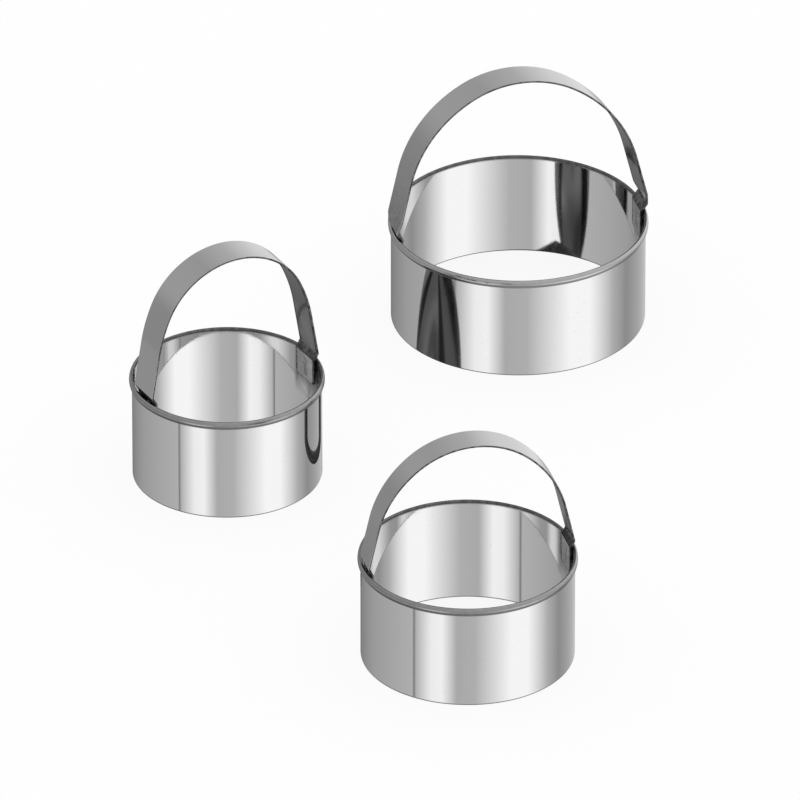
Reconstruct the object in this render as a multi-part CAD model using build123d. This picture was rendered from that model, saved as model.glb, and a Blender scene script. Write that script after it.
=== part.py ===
from build123d import *

import os
from dataclasses import dataclass
from math import cos, degrees, pi, radians, sin, sqrt

# Three round biscuit cutters of one set, standing apart on a table.
# Each cutter is a ring rolled from thin sheet, its upper edge curled outwards into a bead and its
# lower edge left plain to cut, with a bent strap handle spot-welded inside the ring.
# X is to the right, Y is away from the viewer, Z is up, and the cutters stand on Z = 0.

# Stock that all three cutters are made from
SHEET_THICKNESS = 0.4
STRAP_THICKNESS = 0.6

# Ring: the height of the wall to the top of its bead, and the gap where the rolled strip meets itself
RING_HEIGHT = 32.5
SEAM_GAP = 0.12

# Bead: how far it stands out of the wall, how far it reaches down, how far its lower edge leans in
# towards the wall, and the flats that the rolls leave along its top
BEAD_OUTSET = 0.85
BEAD_HEIGHT = 2.5
BEAD_LEAN = 0.3
BEAD_FLATS = 4

# Joggle: the strap steps outwards over the bead between these two bends
CREASE_ABOVE_RIM = 2.0
BEND_BELOW_RIM = 0.3
BEND_RADIUS = 0.5

# Tab: the flat end of the strap, whose side edges stand this far off the inside of the round wall
TAB_CLEARANCE = 0.35
TAB_CORNER_RADIUS = 1.2

# Spot welds: two on each tab, one above the other, placed by shares of the tab's length
WELD_DIAMETER = 2.6
WELD_CLEARANCE = 0.01
WELD_DIMPLE_DEPTH = 0.12
WELD_HEIGHT_SHARES = (0.3, 0.68)

# Large cutter
LARGE_DIAMETER = 76.2
LARGE_HANDLE_HEIGHT = 49.1
LARGE_STRAP_WIDTH = 9.8
LARGE_LEG_LENGTH = 17.2
LARGE_LEG_ANGLE = 13.2
LARGE_SHOULDER_ANGLE = 46.7
LARGE_FOOT_INSET = 0.1
LARGE_TAB_LENGTH = 9.5
LARGE_TURN_ANGLE = 14.0

# Medium cutter
MEDIUM_DIAMETER = 62.4
MEDIUM_HANDLE_HEIGHT = 38.6
MEDIUM_STRAP_WIDTH = 9.1
MEDIUM_LEG_LENGTH = 12.5
MEDIUM_LEG_ANGLE = 13.0
MEDIUM_SHOULDER_ANGLE = 40.0
MEDIUM_FOOT_INSET = 0.8
MEDIUM_TAB_LENGTH = 8.5
MEDIUM_TURN_ANGLE = 15.5

# Small cutter
SMALL_DIAMETER = 56.1
SMALL_HANDLE_HEIGHT = 41.8
SMALL_STRAP_WIDTH = 10.8
SMALL_LEG_LENGTH = 13.9
SMALL_LEG_ANGLE = 9.5
SMALL_SHOULDER_ANGLE = 15.1
SMALL_FOOT_INSET = 0.85
SMALL_TAB_LENGTH = 8.5
SMALL_TURN_ANGLE = 29.0

# Where the other two stand: their rings' gaps to the large one's, and their directions from its centre
SMALL_GAP = 60.0
SMALL_DIRECTION_ANGLE = 227.5
MEDIUM_GAP = 128.6
MEDIUM_DIRECTION_ANGLE = 265.5

# How far a cutting shape runs past the solid that it cuts
OVERRUN = 1.0


@dataclass
class Cutter:
    """The sizes of one cutter, with its place on the table."""

    name: str
    diameter: float
    handle_height: float
    strap_width: float
    leg_length: float
    leg_angle: float
    shoulder_angle: float
    foot_inset: float
    tab_length: float
    turn_angle: float
    x: float = 0.0
    y: float = 0.0

    @property
    def outer_radius(self):
        return self.diameter / 2

    @property
    def inner_radius(self):
        return self.outer_radius - SHEET_THICKNESS

    @property
    def bead_radius(self):
        return self.outer_radius + BEAD_OUTSET

    @property
    def tab_face(self):
        """Distance from the axis to the tab's outer face, whose side edges come nearest to the wall."""
        return sqrt(self.inner_radius**2 - (self.strap_width / 2) ** 2) - TAB_CLEARANCE

    @property
    def tab_bottom(self):
        return RING_HEIGHT - self.tab_length

    @property
    def weld_heights(self):
        return [self.tab_bottom + share * self.tab_length for share in WELD_HEIGHT_SHARES]


def ring_section(cutter):
    """The rolled sheet cut through: a straight wall, folded outwards over its top into a hem."""
    inner = cutter.inner_radius
    curl = (SHEET_THICKNESS + BEAD_OUTSET) / 2
    over_top = []
    for step in range(BEAD_FLATS + 1):
        angle = pi * step / BEAD_FLATS
        over_top.append((inner + curl - curl * cos(angle), RING_HEIGHT - curl + curl * sin(angle)))

    # The hem hangs down from the curl, and its lower edge leans in towards the wall
    hem_bottom = RING_HEIGHT - BEAD_HEIGHT
    hem_edge = cutter.bead_radius - BEAD_LEAN
    fold_top = RING_HEIGHT - SHEET_THICKNESS
    hem = [
        (hem_edge, hem_bottom),
        (hem_edge - SHEET_THICKNESS, hem_bottom),
        (cutter.bead_radius - SHEET_THICKNESS, fold_top),
        (cutter.outer_radius, fold_top),
    ]
    wall_foot = [(cutter.outer_radius, 0), (inner, 0)]
    return make_face(Polyline(over_top + hem + wall_foot, close=True))


def make_ring(cutter):
    """The ring, open by the seam gap, which the handle's right tab covers on the inside."""
    seam_angle = degrees(SEAM_GAP / cutter.outer_radius)
    section = Plane.XZ * ring_section(cutter)
    ring = revolve(section, Axis.Z, revolution_arc=360 - seam_angle)
    return Rot(Z=seam_angle / 2) * ring


def handle_path(cutter):
    """The strap's outer face, seen along the handle's width, from the right tab to the left one."""
    foot = cutter.bead_radius - cutter.foot_inset
    leaning = radians(cutter.leg_angle)
    crease = (foot, RING_HEIGHT + CREASE_ABOVE_RIM)
    leg_x = foot - cutter.leg_length * sin(leaning)
    leg_z = crease[1] + cutter.leg_length * cos(leaning)
    tab = FilletPolyline(
        (cutter.tab_face, cutter.tab_bottom),
        (cutter.tab_face, RING_HEIGHT - BEND_BELOW_RIM),
        crease,
        (leg_x, leg_z),
        radius=BEND_RADIUS,
    )

    # The shoulder leaves the leg without a kink, and the crown goes on from it to a level top.
    # Together they span the leg's distance from the axis and its rise to the apex: that sets both radii.
    turned = radians(cutter.leg_angle + cutter.shoulder_angle)
    apex = RING_HEIGHT + cutter.handle_height
    rise = apex - leg_z
    shoulder_across = cos(leaning) - cos(turned)
    shoulder_up = sin(turned) - sin(leaning)
    crown_across = cos(turned)
    crown_up = 1 - sin(turned)
    both = shoulder_across * crown_up - crown_across * shoulder_up
    shoulder = (leg_x * crown_up - crown_across * rise) / both
    crown = (shoulder_across * rise - shoulder_up * leg_x) / both

    shoulder_centre = (leg_x - shoulder * cos(leaning), leg_z - shoulder * sin(leaning))
    crown_start = cutter.leg_angle + cutter.shoulder_angle
    shoulder_arc = CenterArc(shoulder_centre, shoulder, cutter.leg_angle, cutter.shoulder_angle)
    crown_arc = CenterArc((0, apex - crown), crown, crown_start, 180 - 2 * crown_start)

    right = tab.edges() + shoulder_arc.edges()
    left = [edge.mirror(Plane.YZ) for edge in right]
    return Wire(right + crown_arc.edges() + left)


def make_handle(cutter):
    """The strap, bent along its path, with rounded tab corners and the dimples of the spot welds."""
    outline = handle_path(cutter).offset_2d(STRAP_THICKNESS, side=Side.LEFT, closed=True)
    strap = extrude(Plane.XZ * make_face(outline), cutter.strap_width / 2, both=True)
    tab_corners = strap.edges().filter_by(Axis.X).group_by(Axis.Z)[0]
    strap = fillet(tab_corners, TAB_CORNER_RADIUS)

    dimple_radius = ((WELD_DIAMETER / 2) ** 2 + WELD_DIMPLE_DEPTH**2) / (2 * WELD_DIMPLE_DEPTH)
    from_axis = cutter.tab_face - STRAP_THICKNESS - dimple_radius + WELD_DIMPLE_DEPTH
    for side in (-1, 1):
        for height in cutter.weld_heights:
            strap -= Pos(side * from_axis, 0, height) * Sphere(dimple_radius)
    return strap


def make_welds(cutter):
    """The weld nuggets, each filling the space between a flat tab and the round wall."""
    on_base = (Align.CENTER, Align.CENTER, Align.MIN)
    inside = Cylinder(cutter.inner_radius - WELD_CLEARANCE, RING_HEIGHT, align=on_base)
    nuggets = []
    for side in (-1, 1):
        for height in cutter.weld_heights:
            seat = Plane(origin=(side * cutter.tab_face, 0, height), x_dir=(0, 0, 1), z_dir=(side, 0, 0))
            stud = Cylinder(WELD_DIAMETER / 2, OVERRUN, align=on_base)
            nuggets.append((seat * stud & inside).solid())
    return Compound(nuggets)


def set_down(large, other, gap, direction_angle):
    """Stand another cutter at a gap from the large one's bead, in a direction measured from +X."""
    reach = large.bead_radius + gap + other.bead_radius
    other.x = large.x + reach * cos(radians(direction_angle))
    other.y = large.y + reach * sin(radians(direction_angle))


def centre_set(cutters):
    """Shift all cutters so that the set's box is centred on the origin."""
    low_x = min(cutter.x - cutter.bead_radius for cutter in cutters)
    high_x = max(cutter.x + cutter.bead_radius for cutter in cutters)
    low_y = min(cutter.y - cutter.bead_radius for cutter in cutters)
    high_y = max(cutter.y + cutter.bead_radius for cutter in cutters)
    for cutter in cutters:
        cutter.x -= (low_x + high_x) / 2
        cutter.y -= (low_y + high_y) / 2


def main():
    large = Cutter("large", LARGE_DIAMETER, LARGE_HANDLE_HEIGHT, LARGE_STRAP_WIDTH, LARGE_LEG_LENGTH,
                   LARGE_LEG_ANGLE, LARGE_SHOULDER_ANGLE, LARGE_FOOT_INSET, LARGE_TAB_LENGTH, LARGE_TURN_ANGLE)
    medium = Cutter("medium", MEDIUM_DIAMETER, MEDIUM_HANDLE_HEIGHT, MEDIUM_STRAP_WIDTH, MEDIUM_LEG_LENGTH,
                    MEDIUM_LEG_ANGLE, MEDIUM_SHOULDER_ANGLE, MEDIUM_FOOT_INSET, MEDIUM_TAB_LENGTH,
                    MEDIUM_TURN_ANGLE)
    small = Cutter("small", SMALL_DIAMETER, SMALL_HANDLE_HEIGHT, SMALL_STRAP_WIDTH, SMALL_LEG_LENGTH,
                   SMALL_LEG_ANGLE, SMALL_SHOULDER_ANGLE, SMALL_FOOT_INSET, SMALL_TAB_LENGTH, SMALL_TURN_ANGLE)
    set_down(large, small, SMALL_GAP, SMALL_DIRECTION_ANGLE)
    set_down(large, medium, MEDIUM_GAP, MEDIUM_DIRECTION_ANGLE)
    centre_set([large, medium, small])

    os.makedirs("parts", exist_ok=True)
    for cutter in (large, medium, small):
        place = Pos(cutter.x, cutter.y, 0) * Rot(Z=cutter.turn_angle)
        export_step(place * make_ring(cutter), f"parts/{cutter.name}_ring.step")
        export_step(place * make_handle(cutter), f"parts/{cutter.name}_handle.step")
        export_step(place * make_welds(cutter), f"parts/{cutter.name}_welds.step")
        print(cutter.name, "stands at", round(cutter.x, 2), round(cutter.y, 2))


main()
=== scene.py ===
from dataclasses import dataclass
from math import asin, atan2, cos, degrees, pi, radians, sin, sqrt

import bpy
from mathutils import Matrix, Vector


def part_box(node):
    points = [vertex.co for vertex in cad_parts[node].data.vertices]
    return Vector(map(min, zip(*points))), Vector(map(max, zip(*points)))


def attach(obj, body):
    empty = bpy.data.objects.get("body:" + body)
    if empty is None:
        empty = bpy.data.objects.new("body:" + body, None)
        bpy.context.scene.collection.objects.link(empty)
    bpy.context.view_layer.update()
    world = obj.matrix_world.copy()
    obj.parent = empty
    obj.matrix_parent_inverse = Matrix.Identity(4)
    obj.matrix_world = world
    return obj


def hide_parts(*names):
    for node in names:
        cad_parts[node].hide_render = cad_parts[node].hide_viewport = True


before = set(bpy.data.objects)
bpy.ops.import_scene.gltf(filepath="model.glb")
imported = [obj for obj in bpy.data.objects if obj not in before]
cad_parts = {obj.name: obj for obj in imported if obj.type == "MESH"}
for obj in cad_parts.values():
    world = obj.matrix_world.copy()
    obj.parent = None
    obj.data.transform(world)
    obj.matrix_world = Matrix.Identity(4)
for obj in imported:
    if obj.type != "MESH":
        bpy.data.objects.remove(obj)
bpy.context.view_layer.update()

# Three polished steel biscuit cutters on a white floor. Every length is in metres.
MM = 0.001

# Stock that all three cutters are made from
SHEET = 0.4 * MM
STRAP = 0.6 * MM
SEAM_GAP = 0.12 * MM

# Bead along the top of a ring
BEAD_OUTSET = 0.85 * MM
BEAD_HEIGHT = 2.5 * MM
BEAD_OPENING = 50.0
# From this angle on the bead, over the top, the fold is painted dark as painted shade
FOLD_SHADE_ANGLE = 80.0
FOLD_END = 1.6
# The painted shade under the bead fades in over this margin below it
SHADE_MARGIN = 0.3 * MM

# Wear and painted shade along a ring's section: 0 is polished, 1 is dull and dark. The cutting edge is dulled
# by use; under the bead, the hem, the fold and the fold's end carry painted shade and painted dark reflection
CUTTING_EDGE_WEAR = 0.5
UNDER_BEAD_SHADE = 0.6
HEM_SHADE = 0.8
FOLD_SHADE = 0.8
FOLD_END_SHADE = 0.3

# Painted shade and painted dark reflection on the inside of the wall, beside the tabs and past their edges
TAB_SIDE_SHADE = 0.85
SHADE_NEAR = 4.0 * MM
SHADE_LEFT = 4.0 * MM
SHADE_BEHIND = 12.0 * MM

# Strap ends: the step over the bead, the tab on the wall and its spot welds
CREASE_ABOVE_RIM = 2.0 * MM
BEND_BELOW_RIM = 0.3 * MM
INSIDE_BEND = 0.35 * MM
TAB_CLEARANCE = 0.35 * MM
TAB_CORNER = 1.2 * MM
STRAP_EDGE = 0.09 * MM
WELD_RADIUS = 1.3 * MM
WELD_DEPTH = 0.12 * MM
WELD_SHARES = (0.3, 0.68)
WELD_MARK = 1.3
TWIST_RUN = 3.2 * MM

# Wear and painted shade of a strap: dull sheared edges with painted dark edge lines, painted shade and
# painted dark reflection on the step over the bead and on the left leg's foot, darker tab faces, and weld
# marks
CUT_EDGE_WEAR_AND_SHADE = 0.9
LEAST_EDGE_SHADE = 0.1
EDGE_SHADE_GAIN = 2.5
EDGE_SHADE_LINE = 0.6 * MM
STEP_SHADE = 0.9
TAB_DARKENING = 0.4
WELD_WEAR = 0.55
FOOT_SHADE_FADE = 1.8

# Fineness of the meshes
RING_STEPS = 360
STRAP_STEP = 0.9 * MM
TAB_STEP = 0.3 * MM
STRAP_COLUMNS = 36
ARC_STEP = 9.0
FINE_ARC_STEP = 6.0
BEND_ARC_STEP = 8.0
EDGE_ARC_STEP = 30.0
SHARP_ANGLE = 38.0


@dataclass
class Cutter:
    """A cutter's place and sizes, read from the frame, with the few that its boxes don't give."""

    name: str
    strap_width: float
    leg_length: float
    leg_angle: float
    shoulder_angle: float
    foot_inset: float
    turn_angle: float
    twist_angle: float
    lean: float
    # How dark the bead's outer face is painted: painted dark reflection
    bead_shade: float
    # How dark the left leg's outer face is painted near its foot: painted dark reflection
    foot_shade: float
    # How far past the right tab the painted shade on the inside of the wall reaches
    shade_spread: float

    def __post_init__(self):
        low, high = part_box(f"{self.name}_ring")
        strap_low, strap_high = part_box(f"{self.name}_handle")
        self.x = (low[0] + high[0]) / 2
        self.y = (low[1] + high[1]) / 2
        self.bead_radius = (high[0] - low[0]) / 2
        self.rim = high[2]
        self.outer = self.bead_radius - BEAD_OUTSET
        self.inner = self.outer - SHEET
        self.tab_face = sqrt(self.inner**2 - (self.strap_width / 2) ** 2) - TAB_CLEARANCE
        self.tab_bottom = strap_low[2]
        self.apex = strap_high[2]
        tab = self.rim - self.tab_bottom
        self.welds = [self.tab_bottom + share * tab for share in WELD_SHARES]


CUTTERS = [
    Cutter("large", strap_width=9.8 * MM, leg_length=17.2 * MM, leg_angle=13.2, shoulder_angle=46.7,
           foot_inset=0.1 * MM, turn_angle=14.0, twist_angle=8.9, lean=-0.75 * MM, bead_shade=0.25,
           foot_shade=0.5, shade_spread=0.6 * MM),
    Cutter("medium", strap_width=9.1 * MM, leg_length=12.5 * MM, leg_angle=13.0, shoulder_angle=40.0,
           foot_inset=0.8 * MM, turn_angle=15.5, twist_angle=0.0, lean=0.0, bead_shade=0.45,
           foot_shade=0.2, shade_spread=4.5 * MM),
    Cutter("small", strap_width=10.8 * MM, leg_length=13.9 * MM, leg_angle=9.5, shoulder_angle=15.1,
           foot_inset=0.85 * MM, turn_angle=29.0, twist_angle=0.0, lean=0.0, bead_shade=0.45,
           foot_shade=0.0, shade_spread=2.0 * MM),
]
LARGE, SMALL = CUTTERS[0], CUTTERS[2]


def arc(centre, radius_x, radius_z, start, end, step=ARC_STEP):
    """Points along an arc or part of an ellipse, from one angle to another, in degrees."""
    count = max(2, round(abs(end - start) / step))
    angles = [radians(start + (end - start) * i / count) for i in range(count + 1)]
    return [(centre[0] + radius_x * cos(a), centre[1] + radius_z * sin(a)) for a in angles]


def mesh_object(name, vertices, faces, place, wear_and_shade, body, node):
    """A shaded mesh that stands for a CAD node and rides on its body."""
    mesh = bpy.data.meshes.new(name)
    mesh.from_pydata(vertices, [], faces)
    mesh.validate()
    mesh.shade_smooth()
    mesh.set_sharp_from_angle(angle=radians(SHARP_ANGLE))
    strip = mesh.attributes.new("strip", "FLOAT_VECTOR", "POINT")
    strip.data.foreach_set("vector", [value for point in place for value in point])
    # Each point's darkening: real dulling and weld marks, and painted shade and painted dark reflection
    mesh.attributes.new("wear_and_shade", "FLOAT", "POINT").data.foreach_set("value", wear_and_shade)
    piece = bpy.data.objects.new(name, mesh)
    bpy.context.scene.collection.objects.link(piece)
    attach(piece, body)
    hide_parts(node)
    return piece


def ring_profile(cutter):
    """The rolled sheet cut through, from its cutting edge up the outside, with how dark each point is:
    dulling at the cutting edge, painted shade and painted dark reflection under the bead and over the hem and
    fold.
    """
    inner, outer, rim = cutter.inner, cutter.outer, cutter.rim
    half = (cutter.bead_radius - inner) / 2
    ease = SHEET / 5
    edge = arc((inner + ease, ease), ease, ease, 180, 270, 45)
    edge += arc((outer - ease, ease), ease, ease, 270, 360, 45)
    shares = (0.01, 0.25, 0.5, 0.75)
    outside_wall = [(outer, ease + rim * share) for share in shares]
    outside_wall.append((outer, rim - BEAD_HEIGHT - SHADE_MARGIN))
    under_fold = [(outer, rim - BEAD_HEIGHT), (outer, rim - 2 * SHEET)]
    bead = (inner + half, rim - BEAD_HEIGHT / 2)
    hem_inside = arc(bead, half - SHEET, BEAD_HEIGHT / 2 - SHEET, 60, -BEAD_OPENING, FINE_ARC_STEP)
    hem_outside = arc(bead, half, BEAD_HEIGHT / 2, -BEAD_OPENING, FOLD_SHADE_ANGLE, FINE_ARC_STEP)
    fold = arc((inner + half, rim - half), half, half, FOLD_SHADE_ANGLE, 180, BEND_ARC_STEP)
    inside_wall = [(inner, rim - 2 * half)] + [(inner, ease + rim * share) for share in reversed(shares)]
    fold_end = [(inner, rim - FOLD_END * half)]
    # Under the bead, the hem, the fold and the fold's end are painted shade and painted dark reflection
    parts = [(edge, CUTTING_EDGE_WEAR), (outside_wall, 0.0), (under_fold, UNDER_BEAD_SHADE),
             (hem_inside, HEM_SHADE), (hem_outside, cutter.bead_shade), (fold, FOLD_SHADE),
             (fold_end, FOLD_END_SHADE), (inside_wall, 0.0)]
    return [(radius, height, wear_and_shade) for points, wear_and_shade in parts for radius, height in points]


def shade_beside_tabs(cutter, angle):
    """How much painted shade and painted dark reflection darken the inside of the wall beside the tabs, by
    angle round the ring.
    """
    from_right = (degrees(angle) - cutter.turn_angle + 180) % 360 - 180
    half = degrees(cutter.strap_width / 2 / cutter.inner)
    tabs = ((0, SHADE_NEAR, cutter.shade_spread), (180, SHADE_BEHIND, SHADE_LEFT), (-180, SHADE_BEHIND, SHADE_LEFT))
    for middle, before, after in tabs:
        turned = from_right - middle
        edge = half + degrees((after if turned > 0 else before) / cutter.inner)
        if abs(turned) < edge:
            return TAB_SIDE_SHADE * min(1, 2 * (edge - abs(turned)) / (edge - half))
    return 0.0


def make_ring(cutter):
    profile = ring_profile(cutter)
    seam = SEAM_GAP / cutter.outer
    start = radians(cutter.turn_angle) + seam / 2
    sweep = 2 * pi - seam
    vertices, place, darkness, faces = [], [], [], []
    count = len(profile)
    for step in range(RING_STEPS + 1):
        turned = sweep * step / RING_STEPS
        angle = start + turned
        tab_shade = shade_beside_tabs(cutter, angle)
        for radius, height, wear_and_shade in profile:
            # Above the tabs' ends, the inside of the wall takes the painted shade beside the tabs
            if radius == cutter.inner and height > cutter.tab_bottom:
                wear_and_shade = max(wear_and_shade, tab_shade)
            vertices.append((cutter.x + radius * cos(angle), cutter.y + radius * sin(angle), height))
            place.append((turned * cutter.outer, height, radius - cutter.inner))
            darkness.append(wear_and_shade)
    for step in range(RING_STEPS):
        here, there = step * count, (step + 1) * count
        for i in range(count):
            j = (i + 1) % count
            faces.append((here + i, there + i, there + j, here + j))
    faces.append(tuple(range(count)))
    faces.append(tuple(RING_STEPS * count + i for i in reversed(range(count))))
    name = f"{cutter.name}_ring"
    body = f"{cutter.name}_cutter"
    return mesh_object(f"{name}_sheet", vertices, faces, place, darkness, body, name)


def rounded_corner(before, corner, after, radius):
    """Points along the arc that rounds a corner of a path."""
    d1 = ((corner[0] - before[0]), (corner[1] - before[1]))
    d2 = ((after[0] - corner[0]), (after[1] - corner[1]))
    l1, l2 = sqrt(d1[0] ** 2 + d1[1] ** 2), sqrt(d2[0] ** 2 + d2[1] ** 2)
    d1, d2 = (d1[0] / l1, d1[1] / l1), (d2[0] / l2, d2[1] / l2)
    cross = d1[0] * d2[1] - d1[1] * d2[0]
    turn = asin(max(-1, min(1, cross)))
    back = radius * abs((1 - cos(turn)) / sin(turn))
    side = 1 if cross > 0 else -1
    begin = (corner[0] - d1[0] * back, corner[1] - d1[1] * back)
    centre = (begin[0] - side * d1[1] * radius, begin[1] + side * d1[0] * radius)
    first = degrees(atan2(begin[1] - centre[1], begin[0] - centre[0]))
    return arc(centre, radius, radius, first, first + degrees(turn), BEND_ARC_STEP)


def with_more_points(path, step):
    """The same path with its longer straight runs divided, which keeps their shading flat."""
    points = [path[0]]
    for a, b in zip(path, path[1:]):
        pieces = max(1, round(sqrt((b[0] - a[0]) ** 2 + (b[1] - a[1]) ** 2) / step))
        ahead = (b[0] - a[0], b[1] - a[1])
        points += [(a[0] + ahead[0] * i / pieces, a[1] + ahead[1] * i / pieces) for i in range(1, pieces + 1)]
    return points


def strap_path(cutter):
    """The strap's outer face from the side, from the right tab's end over the apex to the left one's."""
    foot = cutter.bead_radius - cutter.foot_inset
    leaning = radians(cutter.leg_angle)
    crease = (foot, cutter.rim + CREASE_ABOVE_RIM)
    leg_top = (foot - cutter.leg_length * sin(leaning), crease[1] + cutter.leg_length * cos(leaning))
    tab_end = (cutter.tab_face, cutter.tab_bottom)
    bend = (cutter.tab_face, cutter.rim - BEND_BELOW_RIM)
    right = [tab_end] + rounded_corner(tab_end, bend, crease, INSIDE_BEND)
    right += rounded_corner(bend, crease, leg_top, INSIDE_BEND + STRAP) + [leg_top]

    turned = radians(cutter.leg_angle + cutter.shoulder_angle)
    rise = cutter.apex - leg_top[1]
    across = (cos(leaning) - cos(turned), cos(turned))
    up = (sin(turned) - sin(leaning), 1 - sin(turned))
    both = across[0] * up[1] - across[1] * up[0]
    shoulder = (leg_top[0] * up[1] - across[1] * rise) / both
    crown = (across[0] * rise - up[0] * leg_top[0]) / both
    centre = (leg_top[0] - shoulder * cos(leaning), leg_top[1] - shoulder * sin(leaning))
    start = cutter.leg_angle + cutter.shoulder_angle
    right += arc(centre, shoulder, shoulder, cutter.leg_angle, start, degrees(STRAP_STEP / shoulder))[1:]
    right += arc((0, cutter.apex - crown), crown, crown, start, 90, degrees(STRAP_STEP / crown))[1:]
    right = with_more_points(right, TAB_STEP)
    return right + [(-x, z) for x, z in reversed(right[:-1])]


def strap_section(cutter, from_end):
    """Half the flat part's width, and the strap's section as places across it and depths below its face.

    The section goes round the outer face, the near edge, the inner face and the far edge.
    """
    cut = max(TAB_CORNER - from_end, 0)
    flat = cutter.strap_width / 2 - (TAB_CORNER - sqrt(TAB_CORNER**2 - cut**2)) - STRAP_EDGE
    columns = [-flat + 2 * flat * c / STRAP_COLUMNS for c in range(STRAP_COLUMNS + 1)]
    round_edge = arc((0, 0), STRAP_EDGE, STRAP_EDGE, 90, 0, EDGE_ARC_STEP)[1:]
    near = [(flat + e[0], STRAP_EDGE - e[1]) for e in round_edge]
    near += [(flat + e[0], STRAP - STRAP_EDGE + e[1]) for e in reversed(round_edge)]
    far = [(-across, deep) for across, deep in reversed(near)]
    return flat, [(c, 0) for c in columns] + near + [(c, STRAP) for c in reversed(columns)] + far


def strap_wear_and_shade(cutter, side, height, risen, across, deep, flat, at_end):
    """How dark and dull a point of the strap is, from use and from painted shade, on its right side (1) or
    its left one (-1).
    """
    bend = cutter.rim - BEND_BELOW_RIM
    in_step = bend - STRAP < height < cutter.rim + CREASE_ABOVE_RIM
    # The step over the bead is painted dark: painted shade and painted dark reflection
    wear_and_shade = STEP_SHADE if in_step else 0.0
    # The left leg's outer face is painted darker towards its foot: painted dark reflection
    if deep == 0 and not in_step and side < 0:
        wear_and_shade = cutter.foot_shade * max(0, 1 - risen * FOOT_SHADE_FADE)
    # The tab's inner face is made darker
    if deep >= STRAP and height < bend:
        wear_and_shade = TAB_DARKENING
    # On the right leg, lines along the inner face's edges are painted dark: painted shade
    if side > 0 and deep > STRAP / 2 and abs(across) > flat - EDGE_SHADE_LINE:
        wear_and_shade = CUT_EDGE_WEAR_AND_SHADE
    # The cut edges are dull sheared steel and also painted dark, on the left leg more so higher up: painted
    # dark reflection
    if STRAP_EDGE / 2 < deep < STRAP - STRAP_EDGE / 2 or at_end:
        wear_and_shade = CUT_EDGE_WEAR_AND_SHADE * (1 if side > 0 else min(1, EDGE_SHADE_GAIN * risen + LEAST_EDGE_SHADE))
    return wear_and_shade


def weld_dimple(cutter, across, height):
    """The depth of the spot welds' dimples at a point of the tab, and whether it lies in a weld's mark."""
    depth, marked = 0.0, False
    for weld in cutter.welds:
        far = sqrt(across**2 + (height - weld) ** 2) / WELD_RADIUS
        if far < 1:
            depth += WELD_DEPTH * (1 + cos(pi * far)) / 2
        marked = marked or far < WELD_MARK
    return depth, marked


def make_handle(cutter):
    path = strap_path(cutter)
    last = len(path) - 1
    along = [0.0]
    for a, b in zip(path, path[1:]):
        along.append(along[-1] + sqrt((b[0] - a[0]) ** 2 + (b[1] - a[1]) ** 2))
    turn = radians(cutter.turn_angle)
    crease_height = cutter.rim + CREASE_ABOVE_RIM
    vertices, place, darkness, faces = [], [], [], []
    for i, (x, z) in enumerate(path):
        a, b = path[max(i - 1, 0)], path[min(i + 1, last)]
        length = sqrt((b[0] - a[0]) ** 2 + (b[1] - a[1]) ** 2)
        out_x, out_z = (b[1] - a[1]) / length, -(b[0] - a[0]) / length
        from_end = min(along[i], along[-1] - along[i])
        side = 1 if x > 0 else -1
        risen = max(z - crease_height, 0) / (cutter.apex - crease_height)
        twisted = radians(cutter.twist_angle) * min(1, max(0, (z - crease_height) / TWIST_RUN))
        flat, section = strap_section(cutter, from_end)
        for across, deep in section:
            wear_and_shade = strap_wear_and_shade(cutter, side, z, risen, across, deep, flat, from_end == 0)
            if deep >= STRAP:
                dimple, marked = weld_dimple(cutter, across, z)
                deep -= dimple
                wear_and_shade = WELD_WEAR if marked else wear_and_shade
            px, pz = x - out_x * deep + cutter.lean * risen, z - out_z * deep
            reach = across / cos(twisted)
            vertices.append((cutter.x + px * cos(turn) - reach * sin(turn + twisted),
                             cutter.y + px * sin(turn) + reach * cos(turn + twisted), pz))
            place.append((along[i], across, side * deep))
            darkness.append(wear_and_shade)
    count = len(section)
    for i in range(last):
        here, there = i * count, (i + 1) * count
        for j in range(count):
            k = (j + 1) % count
            faces.append((here + j, here + k, there + k, there + j))
    faces.append(tuple(reversed(range(count))))
    faces.append(tuple(last * count + j for j in range(count)))
    name = f"{cutter.name}_handle"
    body = f"{cutter.name}_cutter"
    return mesh_object(f"{name}_strap", vertices, faces, place, darkness, body, name)


# The steel's tones
SHEET_TONE = (0.70, 0.70, 0.705)
STRAP_TONE = (0.59, 0.59, 0.595)
MIRROR_TONE = SHEET_TONE[0]
# The dark tone of dulled places, also used for painted shade and painted dark reflection
WEAR_AND_SHADE_TONE = (0.05, 0.048, 0.045)
WORN_ROUGHNESS = 0.35

# Noises that vary the steel along the strip, with the bounds between which each one takes hold
BLOTCHES = dict(scale=700.0, detail=3.0, roughness=0.6)
BLOTCH_BOUNDS = (0.35, 0.65)
MOST_BLOTCH = 1.1
CLOUDS = dict(scale=90.0, detail=3.0, roughness=0.55)
CLOUD_BOUNDS = (0.3, 0.7)
SPECKS = dict(scale=1500.0, detail=2.0)
DULL_SPECK_BOUNDS = (0.64, 0.76)
DARK_SPECK_BOUNDS = (0.72, 0.78)
SPECK_ROUGHNESS = 0.12
SPECK_TONE = 0.75
LINES = dict(scale=1.0, detail=4.0, roughness=0.6)
LINE_STRETCH = (14.0, 9000.0, 60.0)
LINE_DEPTH = 0.02 * MM


def node(tree, kind, **inputs):
    """A new shader node, with its plain input values set by name."""
    made = tree.nodes.new(kind)
    for key, value in inputs.items():
        made.inputs[key.replace("_", " ")].default_value = value
    return made


def math_node(tree, operation, *values):
    """The result of a new math node. Each value is a plain number, or the output that it is linked to."""
    made = tree.nodes.new("ShaderNodeMath")
    made.operation = operation
    for i, value in enumerate(values):
        if isinstance(value, float):
            made.inputs[i].default_value = value
        else:
            tree.links.new(value, made.inputs[i])
    return made.outputs[0]


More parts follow.
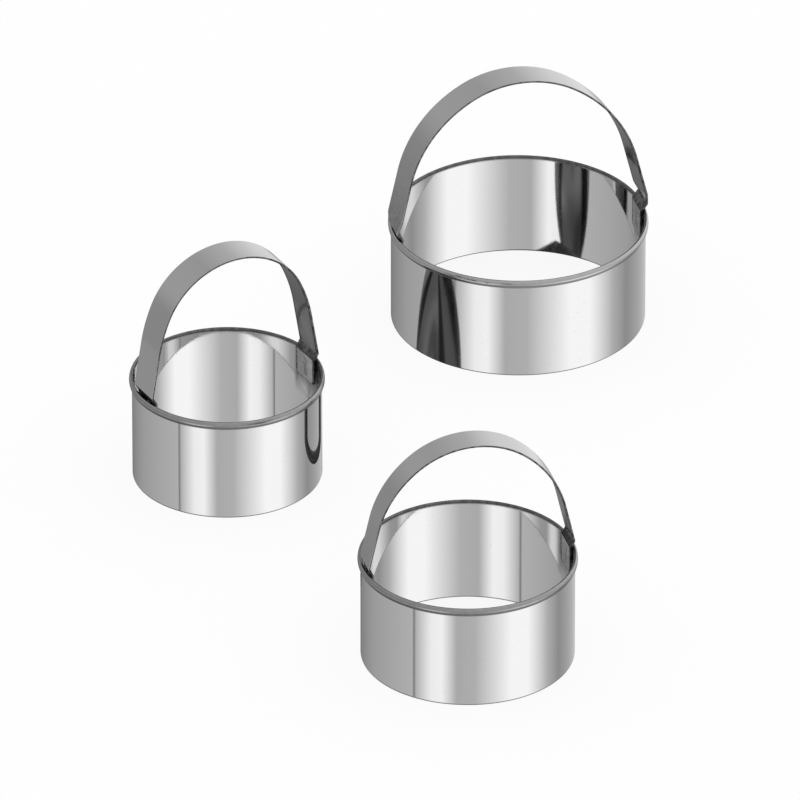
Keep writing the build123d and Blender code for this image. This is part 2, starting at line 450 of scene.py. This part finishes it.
def blend(tree, share, first, second):
    """The result of a new colour mix. Each colour is a plain one, or the output that it is linked to."""
    made = tree.nodes.new("ShaderNodeMix")
    made.data_type = "RGBA"
    tree.links.new(share, made.inputs[0])
    for i, colour in ((6, first), (7, second)):
        if isinstance(colour, tuple):
            made.inputs[i].default_value = (*colour, 1)
        else:
            tree.links.new(colour, made.inputs[i])
    return made.outputs[2]


def noise(tree, place, scale, detail, roughness=0.5):
    made = node(tree, "ShaderNodeTexNoise", Scale=scale, Detail=detail, Roughness=roughness)
    tree.links.new(place, made.inputs["Vector"])
    return made.outputs["Fac"]


def spread(tree, value, bounds, results=(0, 1)):
    """The result of a new map range node, which turns a value's bounds into the results'."""
    made = node(tree, "ShaderNodeMapRange", From_Min=bounds[0], From_Max=bounds[1], To_Min=results[0],
                To_Max=results[1])
    tree.links.new(value, made.inputs["Value"])
    return made.outputs["Result"]


def new_metal(name):
    """A new metal material, with its node tree and shader."""
    material = bpy.data.materials.new(name)
    material.use_nodes = True
    shader = material.node_tree.nodes["Principled BSDF"]
    shader.inputs["Metallic"].default_value = 1.0
    return material, material.node_tree, shader


def steel(name, tone, roughness, bump, least_blotch):
    """Polished steel with rolling lines along the strip, cloudy wear and small specks."""
    material, tree, shader = new_metal(name)
    link = tree.links.new
    strip = node(tree, "ShaderNodeAttribute")
    strip.attribute_name = "strip"
    place = strip.outputs["Vector"]

    # Weld marks are duller and darker, sheared edges partly so; folds, the step over the bead, the left foot
    # and the edge lines are painted shade and painted dark reflection; all in blotches
    wear_and_shade = node(tree, "ShaderNodeAttribute")
    wear_and_shade.attribute_name = "wear_and_shade"
    blotches = spread(tree, noise(tree, place, **BLOTCHES), BLOTCH_BOUNDS, (least_blotch, MOST_BLOTCH))
    patchy = math_node(tree, "MULTIPLY", wear_and_shade.outputs["Fac"], blotches)
    patchy.node.use_clamp = True

    # Clouds of handling wear, and specks
    specks = noise(tree, place, **SPECKS)
    clouds = spread(tree, noise(tree, place, **CLOUDS), CLOUD_BOUNDS, roughness)
    rough = math_node(tree, "ADD", clouds, spread(tree, specks, DULL_SPECK_BOUNDS, (0, SPECK_ROUGHNESS)))
    link(math_node(tree, "MULTIPLY_ADD", patchy, WORN_ROUGHNESS, rough), shader.inputs["Roughness"])
    speck_tone = tuple(SPECK_TONE * part for part in tone)
    speckled = blend(tree, spread(tree, specks, DARK_SPECK_BOUNDS), tone, speck_tone)
    link(blend(tree, patchy, speckled, WEAR_AND_SHADE_TONE), shader.inputs["Base Color"])

    # Rolling lines: noise stretched along the strip
    stretch = node(tree, "ShaderNodeVectorMath")
    stretch.operation = "MULTIPLY"
    stretch.inputs[1].default_value = LINE_STRETCH
    link(place, stretch.inputs[0])
    relief = node(tree, "ShaderNodeBump", Strength=bump, Distance=LINE_DEPTH)
    link(noise(tree, stretch.outputs[0], **LINES), relief.inputs["Height"])
    link(relief.outputs["Normal"], shader.inputs["Normal"])
    return material


WELD_DARK = (0.30, 0.29, 0.29)
WELD_LIGHT = (0.48, 0.47, 0.46)
WELD_ROUGHNESS = (0.3, 0.6)
GRAIN = dict(scale=2500.0, detail=3.0)


def weld_material():
    """Spot-weld metal: dull, darker than the sheet, with a grainy surface."""
    material, tree, shader = new_metal("weld_metal")
    place = node(tree, "ShaderNodeTexCoord")
    grain = noise(tree, place.outputs["Object"], **GRAIN)
    tree.links.new(blend(tree, grain, WELD_DARK, WELD_LIGHT), shader.inputs["Base Color"])
    tree.links.new(spread(tree, grain, (0, 1), WELD_ROUGHNESS), shader.inputs["Roughness"])
    return material


def dress():
    sheet = steel("rolled_sheet", SHEET_TONE, roughness=(0.03, 0.06), bump=0.05, least_blotch=0.95)
    strap = steel("strap_steel", STRAP_TONE, roughness=(0.08, 0.14), bump=0.06, least_blotch=0.7)
    weld = weld_material()
    for cutter in CUTTERS:
        make_ring(cutter).data.materials.append(sheet)
        make_handle(cutter).data.materials.append(strap)
        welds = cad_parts[f"{cutter.name}_welds"]
        welds.data.materials.clear()
        welds.data.materials.append(weld)


# The studio's surroundings as the steel mirrors them: grey on screen, by degrees from the front
# towards the right, in four bands of height
DEEP_STUDIO = [
    (-180, 0.38), (-120, 0.36), (0, 0.55), (90, 0.60), (180, 0.25),
]
LOW_STUDIO = [
    (-180, 0.38), (-120, 0.60), (-61.5, 0.68), (-60.5, 0.45), (-59.5, 0.45), (-58.5, 0.67), (-40, 0.92),
    (-28, 0.94), (-12, 0.66), (8, 0.68), (48, 0.96), (68, 0.96), (96, 0.67), (115, 0.54), (168, 0.70),
    (180, 0.42),
]
MID_STUDIO = [
    (-180, 0.64), (-125, 0.54), (-60, 0.62), (90, 0.76), (150, 0.84), (168, 0.84), (180, 0.64),
]
HIGH_STUDIO = [
    (-180, 0.70), (-150, 0.62), (-60, 0.66), (90, 0.78), (150, 0.84), (165, 0.84), (180, 0.70),
]
DEEP_TO_LOW = (-0.62, -0.54)
LOW_TO_MID = (-0.40, -0.26)
MID_TO_HIGH = (0.0, 0.35)


def grey_ramp(tree, share, stops):
    """The colour that a value from 0 to 1 picks from a ramp of greys, each a place on it and a tone."""
    ramp = node(tree, "ShaderNodeValToRGB")
    tree.links.new(share, ramp.inputs["Fac"])
    elements = ramp.color_ramp.elements
    for i, (position, tone) in enumerate(stops):
        element = elements[i] if i < 2 else elements.new(position)
        element.position = position
        element.color = (tone, tone, tone, 1)
    return ramp.outputs["Color"]


def studio_light(grey):
    """The light that the sheet's steel mirrors as a grey on screen."""
    return ((grey + 0.055) / 1.055) ** 2.4 / MIRROR_TONE


def studio_ramp(tree, bearing, stops):
    return grey_ramp(tree, bearing, [(angle / 360 + 0.5, studio_light(grey)) for angle, grey in stops])


def make_world():
    world = bpy.data.worlds.new("studio")
    bpy.context.scene.world = world
    world.use_nodes = True
    tree = world.node_tree
    link = tree.links.new
    tree.nodes.clear()
    out = node(tree, "ShaderNodeOutputWorld")
    axes = node(tree, "ShaderNodeSeparateXYZ")
    link(node(tree, "ShaderNodeTexCoord").outputs["Generated"], axes.inputs[0])
    towards = math_node(tree, "MULTIPLY", axes.outputs["Y"], -1.0)
    angle = math_node(tree, "ARCTAN2", axes.outputs["X"], towards)
    bearing = math_node(tree, "MULTIPLY_ADD", angle, 1 / (2 * pi), 0.5)
    sky = studio_ramp(tree, bearing, DEEP_STUDIO)
    for stops, bounds in ((LOW_STUDIO, DEEP_TO_LOW), (MID_STUDIO, LOW_TO_MID), (HIGH_STUDIO, MID_TO_HIGH)):
        rising = spread(tree, axes.outputs["Z"], bounds)
        rising.node.interpolation_type = "SMOOTHSTEP"
        sky = blend(tree, rising, sky, studio_ramp(tree, bearing, stops))
    mirrored = node(tree, "ShaderNodeBackground")
    link(sky, mirrored.inputs["Color"])
    plain = node(tree, "ShaderNodeBackground", Color=(1, 1, 1, 1), Strength=1.0)
    choose = node(tree, "ShaderNodeMixShader")
    link(node(tree, "ShaderNodeLightPath").outputs["Is Glossy Ray"], choose.inputs["Fac"])
    link(plain.outputs[0], choose.inputs[1])
    link(mirrored.outputs[0], choose.inputs[2])
    link(choose.outputs[0], out.inputs["Surface"])


FLOOR_SIDE = 8.0
FLOOR_GLOW = 0.88
FLOOR_TONE = (0.95, 0.95, 0.95)


def make_floor():
    """A white floor, of which the camera sees its own white and a soft trace of the shadows."""
    half = FLOOR_SIDE / 2
    mesh = bpy.data.meshes.new("floor")
    corners = [(-half, -half, 0), (half, -half, 0), (half, half, 0), (-half, half, 0)]
    mesh.from_pydata(corners, [], [(0, 1, 2, 3)])
    floor = bpy.data.objects.new("floor", mesh)
    bpy.context.scene.collection.objects.link(floor)
    floor.visible_glossy = False
    material = bpy.data.materials.new("floor_white")
    material.use_nodes = True
    tree = material.node_tree
    tree.nodes.clear()
    out = node(tree, "ShaderNodeOutputMaterial")
    matt = node(tree, "ShaderNodeBsdfDiffuse", Color=(*FLOOR_TONE, 1))
    glow = node(tree, "ShaderNodeEmission", Color=(1, 1, 1, 1), Strength=1.0)
    rays = node(tree, "ShaderNodeLightPath").outputs
    seen = math_node(tree, "MAXIMUM", rays["Is Camera Ray"], rays["Is Glossy Ray"])
    seen = math_node(tree, "MAXIMUM", seen, rays["Is Transmission Ray"])
    mix = node(tree, "ShaderNodeMixShader")
    tree.links.new(math_node(tree, "MULTIPLY", seen, FLOOR_GLOW), mix.inputs["Fac"])
    tree.links.new(matt.outputs[0], mix.inputs[1])
    tree.links.new(glow.outputs[0], mix.inputs[2])
    tree.links.new(mix.outputs[0], out.inputs["Surface"])
    mesh.materials.append(material)


# A dark rounded flag beside the large cutter, below the floor's level, that only the steel mirrors
FLAG_OFFSET = (-79 * MM, -41 * MM, -33 * MM)
FLAG_SIZE = (32 * MM, 32 * MM, 36 * MM)
FLAG_STRIPES = [(-1.0, 0.02), (-0.85, 0.04), (-0.75, 0.14), (-0.52, 0.14), (-0.44, 0.03), (-0.34, 0.03),
                (-0.26, 0.2), (0.5, 0.19), (0.58, 0.02), (0.78, 0.02), (0.86, 0.28), (1.0, 0.35)]

PROP_TONE = (0.08, 0.08, 0.08)
PROP_ROUGHNESS = 0.3


def band_faces(rings, columns):
    """Faces between closed rings of points, one ring after the other."""
    faces = []
    for i in range(rings):
        for j in range(columns):
            k = (j + 1) % columns
            faces.append((i * columns + j, i * columns + k, (i + 1) * columns + k, (i + 1) * columns + j))
    return faces


def mirrored_prop(name, points, faces):
    """A stage object that only the steel mirrors, with its shader, a dull grey metal."""
    mesh = bpy.data.meshes.new(name)
    mesh.from_pydata(points, [], faces)
    mesh.validate()
    mesh.shade_smooth()
    prop = bpy.data.objects.new(name, mesh)
    bpy.context.scene.collection.objects.link(prop)
    prop.visible_camera = False
    prop.visible_diffuse = False
    prop.visible_shadow = False
    material, tree, shader = new_metal(f"{name}_black")
    shader.inputs["Base Color"].default_value = (*PROP_TONE, 1)
    shader.inputs["Roughness"].default_value = PROP_ROUGHNESS
    mesh.materials.append(material)
    return mesh, tree, shader


def make_flag():
    rings, columns = 32, 192
    centre = (LARGE.x + FLAG_OFFSET[0], LARGE.y + FLAG_OFFSET[1], FLAG_OFFSET[2])
    away = sqrt(FLAG_OFFSET[0] ** 2 + FLAG_OFFSET[1] ** 2)
    sideways = (FLAG_OFFSET[1] / away, -FLAG_OFFSET[0] / away)
    points, across = [], []
    for i in range(rings + 1):
        up = pi * i / rings
        for j in range(columns):
            turn = 2 * pi * j / columns
            points.append((centre[0] + FLAG_SIZE[0] * sin(up) * cos(turn),
                           centre[1] + FLAG_SIZE[1] * sin(up) * sin(turn),
                           centre[2] + FLAG_SIZE[2] * cos(up)))
            across.append(cos(turn) * sideways[0] + sin(turn) * sideways[1])
    mesh, tree, shader = mirrored_prop("flag", points, band_faces(rings, columns))
    mesh.attributes.new("across", "FLOAT", "POINT").data.foreach_set("value", across)
    place = node(tree, "ShaderNodeAttribute")
    place.attribute_name = "across"
    share = spread(tree, place.outputs["Fac"], (-1, 1))
    stripes = grey_ramp(tree, share, [(where / 2 + 0.5, tone) for where, tone in FLAG_STRIPES])
    tree.links.new(stripes, shader.inputs["Base Color"])


# A dark wire arch, upside down to the right of the small cutter, that only the steel mirrors
WIRE_OFFSET = (40.6 * MM, 1.5 * MM)
WIRE_BEARING = 131.0
WIRE_HALF_WIDTH = 9.6 * MM
WIRE_BOTTOM = -0.6 * MM
WIRE_DROP = 6.5 * MM
WIRE_TOP = 26.0 * MM
WIRE_RADIUS = 2.0 * MM


def make_wire():
    around, bends = 16, 48
    facing = radians(WIRE_BEARING)
    outward, along = (sin(facing), -cos(facing)), (cos(facing), sin(facing))
    spine = [(-WIRE_HALF_WIDTH, WIRE_TOP, -1.0, 0.0)]
    for i in range(bends + 1):
        a = pi + pi * i / bends
        spine.append((WIRE_HALF_WIDTH * cos(a), WIRE_BOTTOM + WIRE_DROP * (1 + sin(a)), cos(a), sin(a)))
    spine.append((WIRE_HALF_WIDTH, WIRE_TOP, 1.0, 0.0))
    points = []
    for t, z, n_t, n_z in spine:
        for j in range(around):
            a = 2 * pi * j / around
            t_j, z_j = t + WIRE_RADIUS * cos(a) * n_t, z + WIRE_RADIUS * cos(a) * n_z
            out = WIRE_RADIUS * sin(a)
            points.append((SMALL.x + WIRE_OFFSET[0] + t_j * along[0] + out * outward[0],
                           SMALL.y + WIRE_OFFSET[1] + t_j * along[1] + out * outward[1], z_j))
    mirrored_prop("wire", points, band_faces(len(spine) - 1, around))


# A dark cone below the floor's level, that the inside of the large ring mirrors at its foot
CONE_OFFSET = (-5.8 * MM, 11.2 * MM)
CONE_TOP = -12.5 * MM
CONE_BOTTOM = -24.0 * MM
CONE_RADIUS = 10.5 * MM


def make_cone():
    around, rings = 48, 6
    points = []
    for i in range(rings + 1):
        share = i / rings
        for j in range(around):
            a = 2 * pi * j / around
            points.append((LARGE.x + CONE_OFFSET[0] + CONE_RADIUS * share * cos(a),
                           LARGE.y + CONE_OFFSET[1] + CONE_RADIUS * share * sin(a),
                           CONE_TOP + (CONE_BOTTOM - CONE_TOP) * share))
    mirrored_prop("cone", points, band_faces(rings, around))


# Camera: the photo's viewing angle, from far enough away that the three cutters keep their proportions
ELEVATION = 29.9
DISTANCE = 6.0
LOOK_AT = (0.00282, 0.04329, 0.0)
PIXELS_PER_METRE = 3362.0
PICTURE_WIDTH = 800
SENSOR = 36.0


def make_camera():
    data = bpy.data.cameras.new("camera")
    camera = bpy.data.objects.new("camera", data)
    bpy.context.scene.collection.objects.link(camera)
    tilt = radians(ELEVATION)
    camera.location = (LOOK_AT[0], LOOK_AT[1] - DISTANCE * cos(tilt), LOOK_AT[2] + DISTANCE * sin(tilt))
    camera.rotation_euler = (pi / 2 - tilt, 0, 0)
    data.sensor_width = SENSOR
    data.lens = SENSOR * PIXELS_PER_METRE * DISTANCE / PICTURE_WIDTH
    data.clip_end = 50.0
    bpy.context.scene.camera = camera


dress()
make_world()
make_floor()
make_flag()
make_wire()
make_cone()
make_camera()
bpy.context.scene.view_settings.view_transform = "Standard"
